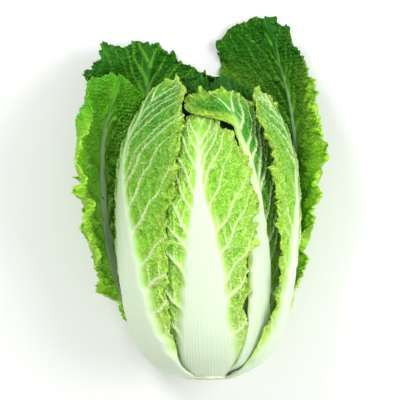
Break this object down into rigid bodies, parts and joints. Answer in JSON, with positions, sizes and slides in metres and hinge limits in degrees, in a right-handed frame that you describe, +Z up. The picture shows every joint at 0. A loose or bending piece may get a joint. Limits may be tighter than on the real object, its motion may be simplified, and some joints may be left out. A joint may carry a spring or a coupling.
{
  "type": "napa cabbage",
  "caption": "Whole napa cabbage lying on its back: pale ribbed wrapper leaves round a closed heart, darker frilled outer leaves spread behind it, and a cut stem.",
  "frame": {"origin": "on the table, under the middle of the whole head's bounding box", "axes": "+Y from the cut stem to the leaf tips, +Z up away from the table, +X to the right seen from above with the tips away from the viewer"},
  "size_m": [0.217, 0.3284, 0.1606],
  "materials": {
    "outer_leaf": "dark green crinkled leaf with yellow-green frilled margins, satin wax",
    "wrapper_leaf": "light green crinkled leaf with a broad white midrib, satin wax",
    "inner_leaf": "green to pale yellow-green crinkled leaf, satin",
    "heart_leaf": "pale yellow tender leaf, satin",
    "cut_stem": "cream-white cut stem, moist satin"
  },
  "bodies": {
    "root": {"stem": "cut_stem", "back_leaf": "outer_leaf", "tall_left_leaf": "outer_leaf", "tall_right_leaf": "outer_leaf", "side_left_leaf": "outer_leaf", "right_wrapper_leaf": "wrapper_leaf", "left_wrapper_leaf": "wrapper_leaf", "front_wrapper_leaf": "wrapper_leaf", "front_right_wrapper_leaf": "wrapper_leaf", "inner_leaf_1": "inner_leaf", "inner_leaf_2": "inner_leaf", "inner_leaf_3": "inner_leaf", "inner_leaf_4": "inner_leaf", "inner_leaf_5": "inner_leaf", "inner_leaf_6": "inner_leaf", "inner_leaf_7": "inner_leaf", "inner_leaf_8": "inner_leaf", "heart_leaf_1": "heart_leaf", "heart_leaf_2": "heart_leaf", "heart_leaf_3": "heart_leaf", "heart_leaf_4": "heart_leaf", "heart_leaf_5": "heart_leaf", "heart_leaf_6": "heart_leaf", "heart_leaf_7": "heart_leaf", "heart_leaf_8": "heart_leaf", "heart_leaf_9": "heart_leaf", "heart_leaf_10": "heart_leaf"}
  },
  "joints": []
}
